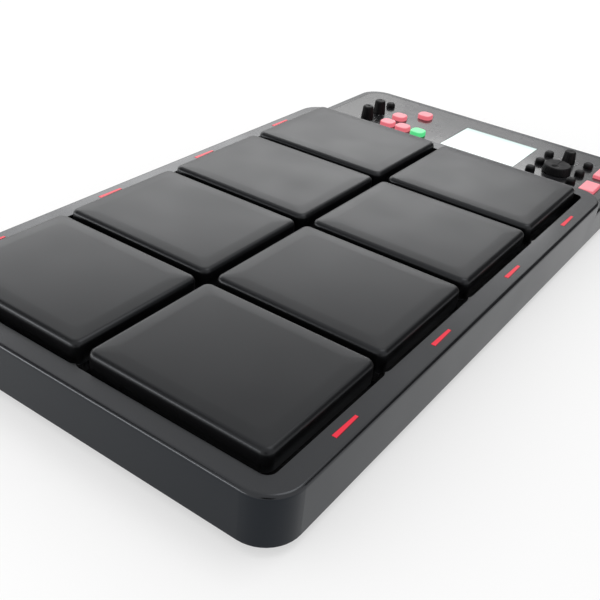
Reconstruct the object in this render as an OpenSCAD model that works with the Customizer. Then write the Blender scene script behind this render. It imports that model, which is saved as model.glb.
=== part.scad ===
// Electronic percussion pad: eight rubber pads in a raised frame, with a control panel behind them.
// X runs to the right, Y to the back and Z up.
// The origin lies on the table under the middle of the case.

/* [Pads] */
// Width of one pad
pad_w = 122.3; // [100:0.1:150]
// Length of one pad from front to back
pad_l = 99.1; // [85:0.1:120]
// Gap between the two columns of pads
column_gap = 6.4; // [3:0.1:8]
// Gap between the rows of pads
row_gap = 5.9; // [3:0.1:8]
// Corner radius of a pad
pad_r = 6; // [4:0.5:10]
// Height of the pads above the rim of the case
pad_rise = 8.8; // [4.5:0.1:10.5]
// Thickness of the rubber
pad_h = 14.8; // [9.5:0.1:15.5]
// Rounding of a pad's upper edge
pad_round = 3.6; // [1:0.1:3.8]
// Thickness of the steel plate under a pad
plate_t = 1.5; // [1:0.1:2]
// Inset of the plate from the pad's edge
plate_inset = 1.8; // [1:0.1:4]
// Corner radius of the plate and of the foam ring under it
plate_r = 4; // [2:0.5:8]
// Thickness of the foam ring under a plate
cushion_t = 6; // [4:0.5:7]
// Width of the foam ring
cushion_w = 14; // [8:1:20]
// Diameter of a piezo sensor
sensor_d = 27; // [15:1:35]
// Thickness of a piezo sensor
sensor_t = 0.6; // [0.4:0.1:1]

/* [Case] */
// Gap between the pads and the rim
rim_gap = 5; // [3:0.1:8]
// Corner radius of the opening around each pad
pocket_r = 6; // [4:0.5:10]
// Width of the rim at both sides
side_rim = 15.3; // [13:0.1:25]
// Width of the rim at the front
front_rim = 14.1; // [10:0.1:25]
// Width of the rim at the back
back_rim = 15.2; // [10:0.1:25]
// Height of the walls from their lower edge to the rim
wall_h = 33; // [31:0.5:45]
// Thickness of the walls
case_wall = 3; // [2:0.5:4]
// Thickness of the rim
rim_t = 3; // [2:0.5:4]
// Thickness of the walls and floor around the pads
well_t = 2.5; // [1.5:0.5:3]
// Corner radius of the case seen from above
corner_r = 22; // [16:1:28]
// Rounding of the case's upper edges
edge_round = 2.5; // [0.5:0.1:3]
// Length of the rear block behind the pad frame
rear_l = 110.5; // [108:0.5:140]
// Drop from the rim to the control panel
panel_drop = 9.5; // [6:0.5:10.5]
// Thickness of the bottom cover
cover_t = 2.5; // [2:0.5:4]
// Clearance around the bottom cover
cover_fit = 0.3; // [0.1:0.1:0.6]
// Height of the feet
foot_h = 7; // [4:0.5:12]
// Diameter of a foot
foot_d = 26; // [16:1:34]
// Distance of a foot from the sides of the case
foot_inset = 42; // [34:1:50]
// Diameter of a screw boss
boss_d = 8; // [7:0.5:10]
// Shank diameter of a case screw
screw_d = 3; // [2.5:0.5:3.5]
// Head diameter of a case screw
screw_head_d = 6; // [5:0.5:7]
// Head height of a case screw
screw_head_h = 1.5; // [1:0.1:1.8]
// Length of a case screw's shank above its head
screw_l = 10; // [8:1:12]

/* [Stand mount] */
// Distance between the stand inserts from side to side
stand_x = 150; // [80:1:180]
// Distance between the stand inserts from front to back
stand_y = 100; // [60:1:160]
// Thread diameter of a stand insert
insert_d = 5; // [4:1:6]
// Outer diameter of a stand insert
insert_od = 8; // [7.5:0.5:10]
// Length of a stand insert
insert_l = 10; // [6:1:12]

/* [Lamps] */
// Length of a lamp lens
lamp_l = 21; // [12:0.2:40]
// Width of a lens at its front end
lamp_front_w = 3.2; // [2.5:0.1:4.5]
// Width of a lens at its back end
lamp_back_w = 2.2; // [1.2:0.1:4.5]
// Distance of a lens's middle from the opening around the pads
lamp_edge = 6.7; // [5.5:0.1:9]
// Width of the flange that holds a lens under the rim
lamp_flange = 1; // [0.5:0.1:1.5]
// Depth of a lens below the rim's underside
lamp_depth = 3; // [2:0.5:4]
// Clearance around a lens
lamp_fit = 0.15; // [0.1:0.05:0.3]

/* [Control panel] */
// Thickness of the panel
panel_t = 2.5; // [2:0.5:3]
// Width of the case's border around the panel
panel_border = 7.5; // [5:0.5:9]
// Distance of the panel from the pad frame
panel_front = 3; // [2:0.5:6]
// Clearance around the panel
panel_fit = 0.2; // [0.1:0.1:0.4]
// Width of the ledge that carries the panel
ledge_w = 4; // [3:0.5:6]
// Thickness of the ledge
ledge_t = 2; // [1.5:0.5:2.5]
// Distance of the rear row of controls from the phone sockets' bodies
row_room = 6.5; // [5:0.5:8]
// Distance from one row of controls to the next
row_pitch = 23; // [20:0.5:25]
// Distance of the display from the back of the case
lcd_back = 28.7; // [27:0.1:32]
// Length of the display window from front to back
lcd_l = 60; // [30:1:62]
// Gap from the lit buttons to the display window
lcd_left_gap = 19.2; // [12:0.1:30]
// Gap from the display window to the small buttons
lcd_right_gap = 10; // [10:0.1:20]
// Thickness of the display window
lcd_t = 1.5; // [1:0.1:1.8]
// Width of the seat around the display window
lcd_seat = 1; // [0.8:0.1:2]
// Width of the display module's frame beyond the window
lcd_frame = 2; // [1:0.5:3]

/* [Knobs and dial] */
// Distance of the knob column from the panel's left edge
knob_edge = 36.8; // [32:0.1:42]
// Lower diameter of a knob
knob_d = 12; // [10:0.5:15]
// Upper diameter of a knob
knob_top_d = 10; // [8:0.5:13]
// Height of the tall knobs above the panel
knob_h = 12.5; // [9:0.5:18]
// Height of the short knob above the panel
level_knob_h = 10.5; // [8:0.5:14]
// Distance of the dial behind the front row of controls
dial_back = 15; // [12:0.5:18]
// Diameter of the dial
dial_d = 25.5; // [18:0.5:28]
// Upper diameter of the dial
dial_top_d = 23.5; // [16:0.5:27]
// Height of the dial above the panel
dial_h = 7; // [6:0.5:14]
// Gap from the panel to a knob or the dial
knob_gap = 0.5; // [0.3:0.1:1]
// Shaft diameter
shaft_d = 6; // [4:0.5:6.5]
// Running clearance of a shaft
shaft_fit = 0.05; // [0.02:0.01:0.1]
// Clearance of a shaft in the panel
shaft_hole_fit = 0.7; // [0.4:0.1:1.5]
// Number of grip flutes on the dial
dial_flutes = 24; // [12:1:32]
// Number of grip flutes on a knob
knob_flutes = 12; // [6:1:16]

/* [Buttons] */
// Gap from the knobs to the first lit column
lit_edge = 10.8; // [8:0.1:14]
// Width of a lit button
lit_w = 13.5; // [9:0.5:14]
// Corner radius of a lit button
lit_r = 5; // [2:0.5:6]
// Gap between the lit columns
lit_gap = 3; // [2.5:0.1:4]
// Height of a lit button above the panel
lit_h = 4; // [2.5:0.5:6]
// Diameter of a small button
small_d = 8.5; // [6:0.5:10]
// Height of a small button above the panel
small_h = 4.5; // [2.5:0.5:6]
// Gap from the dial to the small buttons
dial_gap = 1.7; // [1.5:0.1:3]
// Width of a mode button
mode_w = 13; // [8:0.5:15]
// Length of a mode button from front to back
mode_l = 22; // [10:0.5:28]
// Corner radius of a mode button
mode_r = 2; // [1.5:0.1:4]
// Height of a mode button above the panel
mode_h = 3; // [2:0.5:6]
// Gap from the small buttons to the mode buttons
mode_gap = 6.2; // [4:0.1:8]
// Distance of the mode buttons from the panel's right edge
mode_edge = 8.3; // [7:0.1:12]
// Distance from one mode button to the next
mode_pitch = 38; // [30:1:40]
// Rounding of a button's upper edge
button_round = 1; // [0.5:0.1:1.5]
// Clearance around a button
button_fit = 0.3; // [0.2:0.05:0.5]
// Width of the flange that keeps a button under the panel
button_flange = 0.9; // [0.7:0.1:1.1]
// Thickness of that flange
button_flange_t = 1; // [0.6:0.1:1.4]
// Travel of a button
button_travel = 1; // [0.5:0.1:1.5]

/* [Boards] */
// Thickness of a circuit board
board_t = 1.6; // [1:0.1:2]
// Depth of the panel board below the panel
panel_board_drop = 7.4; // [7:0.1:9]
// Width of a tact switch
switch_w = 6; // [4:0.5:7]
// Diameter of a tact switch's plunger
plunger_d = 3.2; // [2:0.1:3.5]
// Height of a tact switch's body
switch_h = 2.4; // [2:0.1:3]
// Width of a potentiometer
pot_w = 9; // [8.5:0.5:10]
// Width of the encoder
encoder_w = 14; // [11:0.5:16]
// Width of the main board
main_board_w = 210; // [150:1:240]
// Width of the ribbon cable
ribbon_w = 24; // [12:1:40]
// Thickness of the ribbon cable
ribbon_t = 0.8; // [0.5:0.1:1.5]

/* [Sockets] */
// Number of phone sockets
jack_count = 5; // [1:1:5]
// Distance from one phone socket to the next
jack_pitch = 18; // [17:0.5:19]
// Height of a phone socket's body
jack_h = 11; // [10.5:0.5:12]
// Width of a phone socket's body
jack_w = 14; // [12:0.5:16]
// Length of a phone socket's body
jack_l = 27; // [22:0.5:29]
// Bore of a phone socket
jack_bore = 6.5; // [6.4:0.1:6.8]
// Outer diameter of a phone socket's bush
jack_bush_d = 9; // [8.5:0.1:9.5]
// Width of a phone socket's nut across its corners
jack_nut_d = 12; // [11:0.5:13]
// Thickness of a phone socket's nut
jack_nut_t = 2; // [1.5:0.1:2.5]
// Thickness of the socket plate
socket_plate_t = 1.5; // [1:0.1:2]
// Height of the window in the rear wall
window_h = 12.2; // [12:0.1:13]
// Width of the wall around the window that the socket plate lies on
window_lap = 0.8; // [0.6:0.1:1.2]
// Gap between the sockets in the plate
socket_gap = 8; // [4:0.5:10]
// Width of the power button
power_w = 9; // [6:0.5:10]
// Height of the power button
power_h = 7; // [4:0.5:8]
// Travel of the power button
power_travel = 2; // [1:0.1:2.2]

/* [Hidden] */
$fn = 64;
// How far a cut runs past the face that it opens
overcut = 1;

// Pads and pad frame
columns = 2;
rows = 4;
column_pitch = pad_w + column_gap;
row_step = pad_l + row_gap;
pocket_w = pad_w + 2 * rim_gap;
pocket_l = pad_l + 2 * rim_gap;
case_w = column_pitch * (columns - 1) + pocket_w + 2 * side_rim;
frame_l = row_step * (rows - 1) + pocket_l + front_rim + back_rim;
case_l = frame_l + rear_l;
y_front = -case_l / 2;
y_back = case_l / 2;
y_frame_back = y_front + frame_l;

// Heights from the table
z_base = foot_h;
z_rim = z_base + wall_h;
z_panel = z_rim - panel_drop;
z_pad = z_rim + pad_rise;
z_plate = z_pad - pad_h - plate_t;
z_floor = z_plate - cushion_t;
z_floor_under = z_floor - well_t;
z_cover_top = z_base + cover_t;
z_panel_under = z_panel - panel_t;
z_ledge_under = z_panel_under - ledge_t;
z_rim_under = z_rim - rim_t;

// Pad centres, from front left to back right
function pad_x(i) = (i % columns - (columns - 1) / 2) * column_pitch;
function pad_y(i) = y_front + front_rim + pocket_l / 2 + floor(i / columns) * row_step;
pad_count = columns * rows;
side_signs = [-1, 1];

// Lamps
lamp_x = case_w / 2 - side_rim + lamp_edge;
z_lamp_board = z_rim_under - lamp_depth;
lamp_board_gap = 1;
lamp_board_w = side_rim - case_wall - well_t - 2 * lamp_board_gap;
lamp_board_x = case_w / 2 - case_wall - lamp_board_gap - lamp_board_w / 2;
lamp_board_l = row_step * rows;
lamp_post_d = 4;
lamp_proud = 0.2;

// Socket plate and boards
plate_play = 0.1;
jack_z = z_ledge_under - plate_play - window_lap - window_h / 2;
z_main_board = jack_z - jack_h / 2;
y_plate = y_back - case_wall;
y_plate_front = y_plate - socket_plate_t;
y_jack_front = y_plate_front - jack_l;
z_window_top = jack_z + window_h / 2;
board_gap = 1;

// Panel and its controls
panel_w = case_w - 2 * panel_border;
panel_l = rear_l - panel_border - panel_front;
panel_y = y_frame_back + panel_front + panel_l / 2;
panel_r = corner_r - panel_border;
rear_row_y = y_jack_front - row_room;
row_y = [for (i = [0:2]) rear_row_y - (2 - i) * row_pitch];
knob_x = -panel_w / 2 + knob_edge;
lit_pitch = lit_w + lit_gap;
loop_x = knob_x + knob_d / 2 + lit_edge + lit_w / 2;
loop_spots = [[0, 0], [1, 0], [0, 1], [1, 2]];
play_spot = [2, 0];
function lit_xy(spot) = [loop_x + spot[0] * lit_pitch, row_y[spot[1]]];
mode_x = panel_w / 2 - mode_edge - mode_w / 2;
menu_x = mode_x - mode_w / 2 - mode_gap - small_d / 2;
dial_x = menu_x - small_d / 2 - dial_gap - dial_d / 2;
function_x = dial_x - dial_d / 2 - dial_gap - small_d / 2;
function mode_xy(i) = [mode_x, row_y[0] + i * mode_pitch];
dial_xy = [dial_x, row_y[0] + dial_back];
level_xy = [dial_x, row_y[2]];
volume_xy = [[knob_x, row_y[0]], [knob_x, row_y[1]]];
click_xy = [knob_x, row_y[2]];
pot_spots = concat(volume_xy, [level_xy]);
lit_spots = [for (spot = concat(loop_spots, [play_spot])) lit_xy(spot)];
small_spots = concat(
  [click_xy],
  [for (y = row_y) [function_x, y]],
  [for (y = row_y) [menu_x, y]]
);
mode_spots = [mode_xy(0), mode_xy(1)];
switch_spots = concat(lit_spots, small_spots, mode_spots);

// Display, which fills the space between the lit and the small buttons
lcd_left = lit_xy(play_spot)[0] + lit_w / 2 + lcd_left_gap;
lcd_right = function_x - small_d / 2 - lcd_right_gap;
lcd_w = lcd_right - lcd_left;
lcd_x = (lcd_left + lcd_right) / 2;
lcd_y = y_back - lcd_back - lcd_l / 2;

// Buttons under the panel
flange_play = 0.2;
stem_d = 4;
stem_l = 1.6;
z_flange_top = z_panel_under - flange_play;
z_stem = z_flange_top - button_flange_t - stem_l;
plunger_play = 0.2;
z_plunger = z_stem - button_travel - plunger_play;

// Panel board, hung on posts under the panel
z_panel_board = z_panel_under - panel_board_drop;
panel_post_d = 5;
panel_post_gap = 1.4;
panel_post_inset = 4;
panel_open_front = y_frame_back + panel_front + ledge_w;
panel_board_front = panel_open_front;
panel_board_back = y_jack_front - board_gap;
board_margin = 5;
knob_post_space = 22;
panel_board_left = knob_x - knob_post_space - board_margin;
panel_board_right = mode_x + mode_w / 2;
panel_post_x = [
  knob_x - knob_post_space,
  lcd_left - lcd_frame - panel_post_gap - panel_post_d / 2,
  lcd_right + lcd_frame + panel_post_gap + panel_post_d / 2
];
panel_post_y = [panel_board_front + panel_post_inset, panel_board_back - panel_post_inset];
panel_posts = concat(
  [for (x = panel_post_x, y = panel_post_y) [x, y]],
  [[mode_x, row_y[0] + mode_pitch / 2]]
);
pot_h = 5;
shaft_lift = 0.6;
z_shaft = z_panel_board + shaft_lift;
bush_d = 9;

// Main board and socket board, on posts that rise from the cover
main_board_y = (panel_board_front + panel_board_back) / 2;
main_board_l = panel_board_back - panel_board_front;
standoff_d = 6;
standoff_inset = 6;
chip_w = 20;
chip_h = 2;
chip_pitch = 34;

// Screws and feet
screw_fit = 0.2;
screw_inset = 9;
screw_x = case_w / 2 - side_rim - screw_inset;
screw_y = concat(
  [pad_y(0) - pad_l / 2 + screw_inset],
  [for (i = [1:rows - 1]) pad_y(columns * i) - row_step / 2],
  [pad_y(pad_count - 1) + pad_l / 2 - screw_inset]
);
rear_boss_inset = 12;
floor_screws = [for (s = side_signs, y = screw_y) [s * screw_x, y]];
rear_screws = [for (s = side_signs) [s * (case_w / 2 - rear_boss_inset), y_back - rear_boss_inset]];
screw_spots = concat(floor_screws, rear_screws);
foot_spots = [
  for (sx = side_signs, sy = side_signs) [sx * (case_w / 2 - foot_inset), sy * (case_l / 2 - foot_inset)]
];
stand_spots = [for (sx = side_signs, sy = side_signs) [sx * stand_x / 2, sy * stand_y / 2]];
insert_wall = 2.5;

// Sockets, phone sockets at the left of the display and the others at its right
socket_side_gap = 2;
jack_back_wall = 1;
first_jack_x = lcd_left - lcd_frame - socket_side_gap - jack_w / 2;
jack_spots = [for (i = [0:jack_count - 1]) first_jack_x - i * jack_pitch];
usb_w = 12;
usb_h = 10.5;
usb_l = 16;
usb_open_w = 9;
usb_open_h = 8.2;
usb_back_wall = 4;
usb_tongue_h = 3;
usb_tongue_sink = 1;
usb_x = lcd_right + lcd_frame + socket_side_gap + usb_w / 2;
inlet_w = 9;
inlet_h = 11;
inlet_l = 14;
inlet_bore = 6;
inlet_wall = 2;
inlet_pin_d = 2;
inlet_x = usb_x + usb_w / 2 + socket_gap + inlet_w / 2;
power_switch_w = 12;
power_switch_l = 13;
power_x = inlet_x + inlet_w / 2 + socket_gap + power_switch_w / 2;
power_guide = 3;
power_play = 0.3;
power_collar = 1;
power_sink = 0.2;
window_left = jack_spots[jack_count - 1] - jack_w / 2 - socket_side_gap;
window_right = power_x + power_switch_w / 2 + socket_side_gap;
window_w = window_right - window_left;
standoff_spots = concat(
  [for (x = side_signs, y = side_signs)
    [x * (main_board_w / 2 - standoff_inset), main_board_y + y * (main_board_l / 2 - standoff_inset)]],
  [for (x = [window_left + standoff_inset, window_right - standoff_inset]) [x, y_jack_front + jack_l / 2]]
);

// Colours
case_colour = "#3c3e41";
panel_colour = "#46494c";
rubber_colour = "#2f3032";
black_colour = "#17181a";
red_colour = "#e8485a";
green_colour = "#58e08c";
board_colour = "#1f5a3a";
steel_colour = "#b9bcc0";

// Flat outline with round corners
module rounded_rect(w, l, r) {
  square([w - 2 * r, l], center = true);
  square([w, l - 2 * r], center = true);
  for (x = side_signs, y = side_signs)
    translate([x * (w / 2 - r), y * (l / 2 - r)]) circle(r);
}

// Quarter of a disc in the first quadrant
module quarter_disc(r) {
  intersection() {
    circle(r);
    square(r);
  }
}

// Section through a rounded upper edge, which reaches w in from its outer face and f below the rounding
module edge_section(w, f) {
  square([w, f]);
  square([w - f, 2 * f]);
  translate([w - f, f]) quarter_disc(f);
}

// Block with round corners and rounded upper edges, standing on the origin
module soft_block(w, l, r, h, f) {
  linear_extrude(h - f) rounded_rect(w, l, r);
  linear_extrude(h) rounded_rect(w - 2 * f, l - 2 * f, r - f);
  translate([0, 0, h - 2 * f]) {
    for (x = side_signs, y = side_signs)
      translate([x * (w / 2 - r), y * (l / 2 - r), 0])
        rotate(x > 0 ? (y > 0 ? 0 : 270) : (y > 0 ? 90 : 180))
          rotate_extrude(angle = 90) edge_section(r, f);
    for (a = [0, 180]) {
      rotate(a) translate([w / 2 - r, l / 2 - r, 0])
        rotate([90, 0, 0]) linear_extrude(l - 2 * r) edge_section(r, f);
      rotate(a + 90) translate([l / 2 - r, w / 2 - r, 0])
        rotate([90, 0, 0]) linear_extrude(w - 2 * r) edge_section(r, f);
    }
  }
}

// Outline of the openings around the pads, grown by a wall
module well_outline(grow) {
  for (i = [0:pad_count - 1])
    translate([pad_x(i), pad_y(i)])
      rounded_rect(pocket_w + 2 * grow, pocket_l + 2 * grow, pocket_r + grow);
}

// Outline of the inside of the case
module inner_outline(gap) {
  inset = case_wall + gap;
  rounded_rect(case_w - 2 * inset, case_l - 2 * inset, corner_r - inset);
}

// Outline of a lamp lens, grown by a clearance or a flange
module lamp_outline(grow) {
  polygon([
    [-lamp_front_w / 2 - grow, -lamp_l / 2 - grow],
    [lamp_front_w / 2 + grow, -lamp_l / 2 - grow],
    [lamp_back_w / 2 + grow, lamp_l / 2 + grow],
    [-lamp_back_w / 2 - grow, lamp_l / 2 + grow]
  ]);
}

module at_lamps() {
  for (s = side_signs, row = [0:rows - 1])
    translate([s * lamp_x, pad_y(row * columns), 0]) children();
}

// Posts between the lamps carry the lamp boards
module lamp_posts() {
  for (s = side_signs, row = [0:rows])
    translate([s * lamp_board_x, pad_y(0) + (row - 0.5) * (row_step - lamp_post_d / rows), z_lamp_board])
      cylinder(d = lamp_post_d, h = z_rim - z_lamp_board - rim_t / 2);
}

module case_shell() {
  difference() {
    union() {
      translate([0, y_front + frame_l / 2, z_base]) soft_block(case_w, frame_l, corner_r, wall_h, edge_round);
      translate([0, 0, z_base]) soft_block(case_w, case_l, corner_r, wall_h - panel_drop, edge_round);
    }
    // Space under the pad floor
    translate([0, 0, z_base - overcut]) linear_extrude(z_floor_under - z_base + overcut) inner_outline(0);
    // Space under the rim, around the pad well
    translate([0, 0, z_floor_under - overcut])
      linear_extrude(z_rim_under - z_floor_under + overcut) difference() {
        translate([0, y_front + frame_l / 2])
          rounded_rect(case_w - 2 * case_wall, frame_l - 2 * case_wall, corner_r - case_wall);
        well_outline(well_t);
      }
    // Space under the control panel
    translate([0, 0, z_base - overcut]) linear_extrude(z_ledge_under - z_base + overcut) intersection() {
      inner_outline(0);
      translate([-case_w / 2, y_frame_back]) square([case_w, rear_l]);
    }
    // Well for the pads
    translate([0, 0, z_floor]) linear_extrude(wall_h) well_outline(0);
    // Seat and opening for the control panel
    translate([0, panel_y, z_panel_under]) linear_extrude(wall_h) rounded_rect(panel_w, panel_l, panel_r);
    translate([0, panel_y, z_ledge_under - overcut]) linear_extrude(wall_h)
      rounded_rect(panel_w - 2 * ledge_w, panel_l - 2 * ledge_w, panel_r - ledge_w);
    // Slots for the lamps
    at_lamps() translate([0, 0, z_rim_under - overcut])
      linear_extrude(rim_t + 2 * overcut) lamp_outline(lamp_fit);
    // Window for the sockets, open at its lower edge
    translate([window_left, y_plate - overcut, z_base - overcut])
      cube([window_w, case_wall + 2 * overcut, z_window_top - z_base + overcut]);
  }
}

module top_case() {
  color(case_colour) difference() {
    union() {
      case_shell();
      lamp_posts();
      for (p = floor_screws) translate([p[0], p[1], z_cover_top])
        cylinder(d = boss_d, h = z_floor_under - z_cover_top + well_t / 2);
      for (p = rear_screws) translate([p[0], p[1], z_cover_top])
        cylinder(d = boss_d, h = z_ledge_under - z_cover_top + ledge_t / 2);
    }
    for (p = screw_spots)
      translate([p[0], p[1], z_cover_top - overcut]) cylinder(d = screw_d, h = screw_l + overcut);
  }
}

module bottom_cover() {
  color(black_colour) difference() {
    union() {
      translate([0, 0, z_base]) linear_extrude(cover_t) inner_outline(cover_fit);
      // Sill that closes the window's lower edge
      translate([window_left + cover_fit, y_plate - 2 * cover_fit, z_base])
        cube([window_w - 2 * cover_fit, case_wall + 2 * cover_fit, cover_t]);
      for (p = stand_spots) translate([p[0], p[1], z_base])
        cylinder(d = insert_od + 2 * insert_wall, h = insert_l + insert_wall);
      for (p = standoff_spots) translate([p[0], p[1], z_base])
        cylinder(d = standoff_d, h = z_main_board - board_t - z_base);
    }
    for (p = screw_spots) translate([p[0], p[1], z_base - overcut]) {
      cylinder(d = screw_d + 2 * screw_fit, h = cover_t + 2 * overcut);
      cylinder(d = screw_head_d + 2 * screw_fit, h = screw_head_h + overcut);
    }
    for (p = stand_spots)
      translate([p[0], p[1], z_base - overcut]) cylinder(d = insert_od, h = insert_l + overcut);
  }
}

module control_panel() {
  color(panel_colour) difference() {
    union() {
      translate([0, panel_y, z_panel_under]) linear_extrude(panel_t)
        rounded_rect(panel_w - 2 * panel_fit, panel_l - 2 * panel_fit, panel_r - panel_fit);
      for (p = panel_posts)
        translate([p[0], p[1], z_panel_board]) cylinder(d = panel_post_d, h = panel_board_drop + panel_t / 2);
    }
    translate([lcd_x, lcd_y, z_panel - lcd_t]) linear_extrude(panel_t)
      square([lcd_w + 2 * panel_fit, lcd_l + 2 * panel_fit], center = true);
    translate([lcd_x, lcd_y, z_panel_under - overcut]) linear_extrude(panel_t)
      square([lcd_w - 2 * lcd_seat, lcd_l - 2 * lcd_seat], center = true);
    translate([0, 0, z_panel_under - overcut]) {
      for (p = concat(pot_spots, [dial_xy]))
        translate(p) cylinder(d = shaft_d + 2 * shaft_hole_fit, h = panel_t + 2 * overcut);
      for (p = lit_spots)
        translate(p) linear_extrude(panel_t + 2 * overcut)
          rounded_rect(lit_w + 2 * button_fit, lit_w + 2 * button_fit, lit_r + button_fit);
      for (p = small_spots)
        translate(p) cylinder(d = small_d + 2 * button_fit, h = panel_t + 2 * overcut);
      for (p = mode_spots)
        translate(p) linear_extrude(panel_t + 2 * overcut)
          rounded_rect(mode_w + 2 * button_fit, mode_l + 2 * button_fit, mode_r + button_fit);
    }
  }
}

module lcd_window() {
  color("#dff7f2") translate([lcd_x, lcd_y, z_panel - lcd_t]) linear_extrude(lcd_t)
    square([lcd_w, lcd_l], center = true);
}

module lcd_module() {
  color("#e9f6f2") translate([lcd_x, lcd_y, z_panel_board]) linear_extrude(panel_board_drop)
    square([lcd_w + 2 * lcd_frame, lcd_l + 2 * lcd_frame], center = true);
}

// Rubber playing surface with a rounded upper edge
module pad(i) {
  color(rubber_colour) translate([pad_x(i), pad_y(i), z_pad - pad_h])
    soft_block(pad_w, pad_l, pad_r, pad_h, pad_round);
}

module pad_plates() {
  color(steel_colour) for (i = [0:pad_count - 1])
    translate([pad_x(i), pad_y(i), z_plate]) linear_extrude(plate_t)
      rounded_rect(pad_w - 2 * plate_inset, pad_l - 2 * plate_inset, plate_r);
}

module pad_cushions() {
  w = pad_w - 2 * plate_inset;
  l = pad_l - 2 * plate_inset;
  color("#55565a") for (i = [0:pad_count - 1])
    translate([pad_x(i), pad_y(i), z_floor]) linear_extrude(cushion_t) difference() {
      rounded_rect(w, l, plate_r);
      square([w - 2 * cushion_w, l - 2 * cushion_w], center = true);
    }
}

module piezo_sensors() {
  color("#c9a64a") for (i = [0:pad_count - 1])
    translate([pad_x(i), pad_y(i), z_plate - sensor_t]) cylinder(d = sensor_d, h = sensor_t);
}

module pad_lamps() {
  color(red_colour) at_lamps() {
    translate([0, 0, z_lamp_board]) linear_extrude(z_rim - z_lamp_board + lamp_proud) lamp_outline(0);
    translate([0, 0, z_rim_under - lamp_flange]) linear_extrude(lamp_flange) lamp_outline(lamp_flange);
  }
}

module lamp_boards() {
  color(board_colour) for (s = side_signs)
    translate([s * lamp_board_x, pad_y(0) + (rows - 1) * row_step / 2, z_lamp_board - board_t])
      linear_extrude(board_t) square([lamp_board_w, lamp_board_l], center = true);
}

module main_board() {
  color(board_colour) translate([0, main_board_y, z_main_board - board_t]) {
    linear_extrude(board_t) square([main_board_w, main_board_l], center = true);
    for (i = [-1:1]) translate([i * chip_pitch, 0, board_t / 2])
      linear_extrude(board_t / 2 + chip_h) square(chip_w, center = true);
  }
}

module panel_board() {
  color(board_colour) translate([panel_board_left, panel_board_front, z_panel_board - board_t])
    cube([panel_board_right - panel_board_left, panel_board_back - panel_board_front, board_t]);
}

module jack_board() {
  color(board_colour) translate([window_left, y_jack_front, z_main_board - board_t])
    cube([window_w, jack_l, board_t]);
}

module ribbon_cable() {
  color("#8a8d90") translate([-ribbon_w / 2, panel_board_front + panel_post_inset, z_main_board])
    cube([ribbon_w, ribbon_t, z_panel_board - board_t - z_main_board]);
}

module tact_switches() {
  color(black_colour) for (p = switch_spots) translate([p[0], p[1], z_panel_board]) {
    linear_extrude(switch_h) square(switch_w, center = true);
    cylinder(d = plunger_d, h = z_plunger - z_panel_board);
  }
}

// Body of a rotary control with a bush that takes its shaft
module rotary_body(w) {
  difference() {
    union() {
      linear_extrude(pot_h) square(w, center = true);
      cylinder(d = bush_d, h = panel_board_drop);
    }
    translate([0, 0, shaft_lift - shaft_fit])
      cylinder(d = shaft_d + 2 * shaft_fit, h = panel_board_drop);
  }
}

module potentiometers() {
  color("#3a5f86") for (p = pot_spots) translate([p[0], p[1], z_panel_board]) rotary_body(pot_w);
}

module encoder() {
  color("#3a5f86") translate([dial_xy[0], dial_xy[1], z_panel_board]) rotary_body(encoder_w);
}

// Shaft that ends halfway up its knob
module shaft(p, h) {
  color(steel_colour) translate([p[0], p[1], z_shaft]) cylinder(d = shaft_d, h = z_panel + h / 2 - z_shaft);
}

// Round grip with flutes, a pointer groove and a blind hole for its shaft
module grip(p, d, top_d, h, flutes) {
  body_h = h - knob_gap;
  flute_r = 0.6;
  edge = 0.8;
  groove_w = 1;
  groove_t = 0.5;
  translate([p[0], p[1], z_panel + knob_gap]) difference() {
    union() {
      cylinder(d1 = d, d2 = top_d, h = body_h - edge);
      translate([0, 0, body_h - edge]) cylinder(d1 = top_d, d2 = top_d - 2 * edge, h = edge);
    }
    for (i = [0:flutes - 1]) rotate(i * 360 / flutes)
      translate([d / 2 + flute_r / 4, 0, 1]) rotate([0, -atan((d - top_d) / 2 / (body_h - edge)), 0])
        cylinder(r = flute_r, h = 2 * h, $fn = 24);
    translate([0, 0, -overcut]) cylinder(d = shaft_d, h = h / 2 - knob_gap + overcut);
    translate([-groove_w / 2, 0, body_h - groove_t]) cube([groove_w, d, groove_t + overcut]);
  }
}

module knob(p, h) {
  color(black_colour) grip(p, knob_d, knob_top_d, h, knob_flutes);
}

module value_dial() {
  dimple_r = 6;
  dimple_depth = 1.2;
  color(black_colour) difference() {
    grip(dial_xy, dial_d, dial_top_d, dial_h, dial_flutes);
    translate([dial_xy[0], dial_xy[1] - dial_top_d / 4, z_panel + dial_h + dimple_r - dimple_depth])
      sphere(dimple_r);
  }
}

// Flange and stem of a button below the panel
module button_foot() {
  translate([0, 0, z_stem]) cylinder(d = stem_d, h = stem_l + button_flange_t);
  translate([0, 0, z_flange_top - button_flange_t]) linear_extrude(button_flange_t) children();
}

module block_button(p, w, l, r, h) {
  translate([p[0], p[1], 0]) {
    translate([0, 0, z_flange_top - button_flange_t])
      soft_block(w, l, r, z_panel + h - z_flange_top + button_flange_t, button_round);
    button_foot() rounded_rect(w + 2 * button_flange, l + 2 * button_flange, r + button_flange);
  }
}

module lit_button(p) {
  block_button(p, lit_w, lit_w, lit_r, lit_h);
}

module mode_button(i) {
  color(red_colour) block_button(mode_xy(i), mode_w, mode_l, mode_r, mode_h);
}

module loop_button(i) {
  color(red_colour) lit_button(lit_xy(loop_spots[i]));
}

module play_button() {
  color(green_colour) lit_button(lit_xy(play_spot));
}

module small_button(p) {
  dome = 2;
  cap_h = z_panel + small_h - z_flange_top + button_flange_t;
  color(black_colour) translate([p[0], p[1], 0]) {
    translate([0, 0, z_flange_top - button_flange_t]) rotate_extrude() {
      square([small_d / 2, cap_h - dome]);
      square([small_d / 2 - dome, cap_h]);
      translate([small_d / 2 - dome, cap_h - dome]) quarter_disc(dome);
    }
    button_foot() circle(d = small_d + 2 * button_flange);
  }
}

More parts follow.
